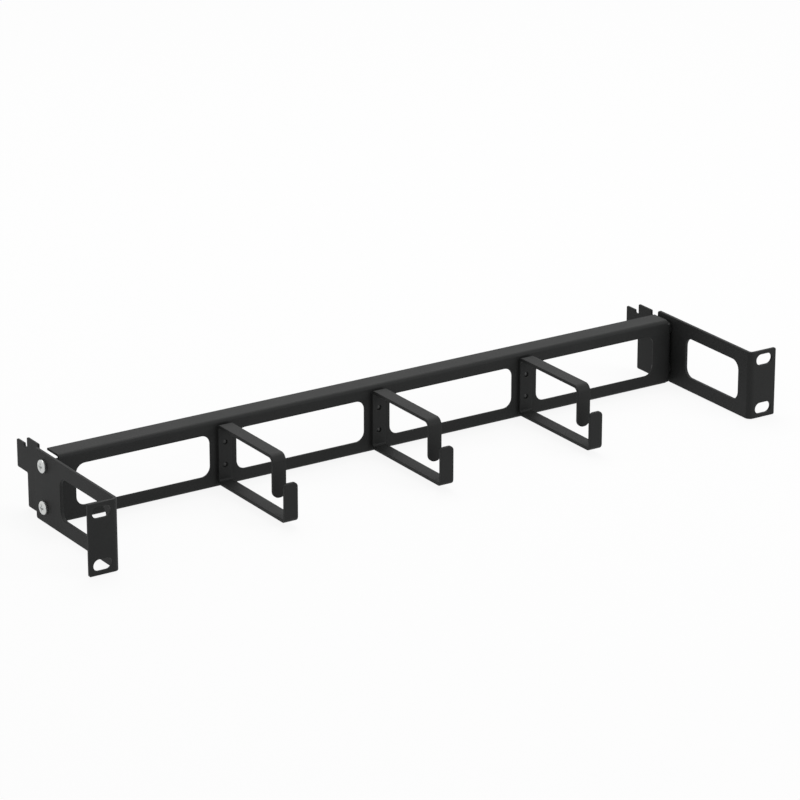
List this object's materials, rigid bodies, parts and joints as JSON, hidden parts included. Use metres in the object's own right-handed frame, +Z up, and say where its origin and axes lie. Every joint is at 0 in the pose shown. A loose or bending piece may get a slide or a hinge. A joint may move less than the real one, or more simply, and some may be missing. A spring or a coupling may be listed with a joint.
{
  "type": "horizontal cable manager",
  "caption": "Rack-mounted black steel bar, set back on side brackets, with open rings in front that hold and guide cables across the rack.",
  "frame": {"origin": "centre of the four rack slots, on the plane where the ears seat against the rack rails", "axes": "+X right along the bar, +Y back into the rack, +Z up"},
  "size_m": [0.4826, 0.125, 0.0438],
  "materials": {
    "black_powder_coat": "satin",
    "zinc_plate": "bright zinc",
    "black_zinc_plate": "black zinc"
  },
  "bodies": {
    "root": {"cable_ring_1": "black_powder_coat", "cable_ring_2": "black_powder_coat", "cable_ring_3": "black_powder_coat", "left_bracket": "black_powder_coat", "left_bracket_screw_lower": "zinc_plate", "left_bracket_screw_upper": "zinc_plate", "left_rivet_nut_lower": "black_zinc_plate", "left_rivet_nut_upper": "black_zinc_plate", "main_bar": "black_powder_coat", "right_bracket": "black_powder_coat", "right_bracket_screw_lower": "zinc_plate", "right_bracket_screw_upper": "zinc_plate", "right_rivet_nut_lower": "black_zinc_plate", "right_rivet_nut_upper": "black_zinc_plate", "ring_screw_1_lower": "black_zinc_plate", "ring_screw_1_upper": "black_zinc_plate", "ring_screw_2_lower": "black_zinc_plate", "ring_screw_2_upper": "black_zinc_plate", "ring_screw_3_lower": "black_zinc_plate", "ring_screw_3_upper": "black_zinc_plate"}
  },
  "joints": []
}
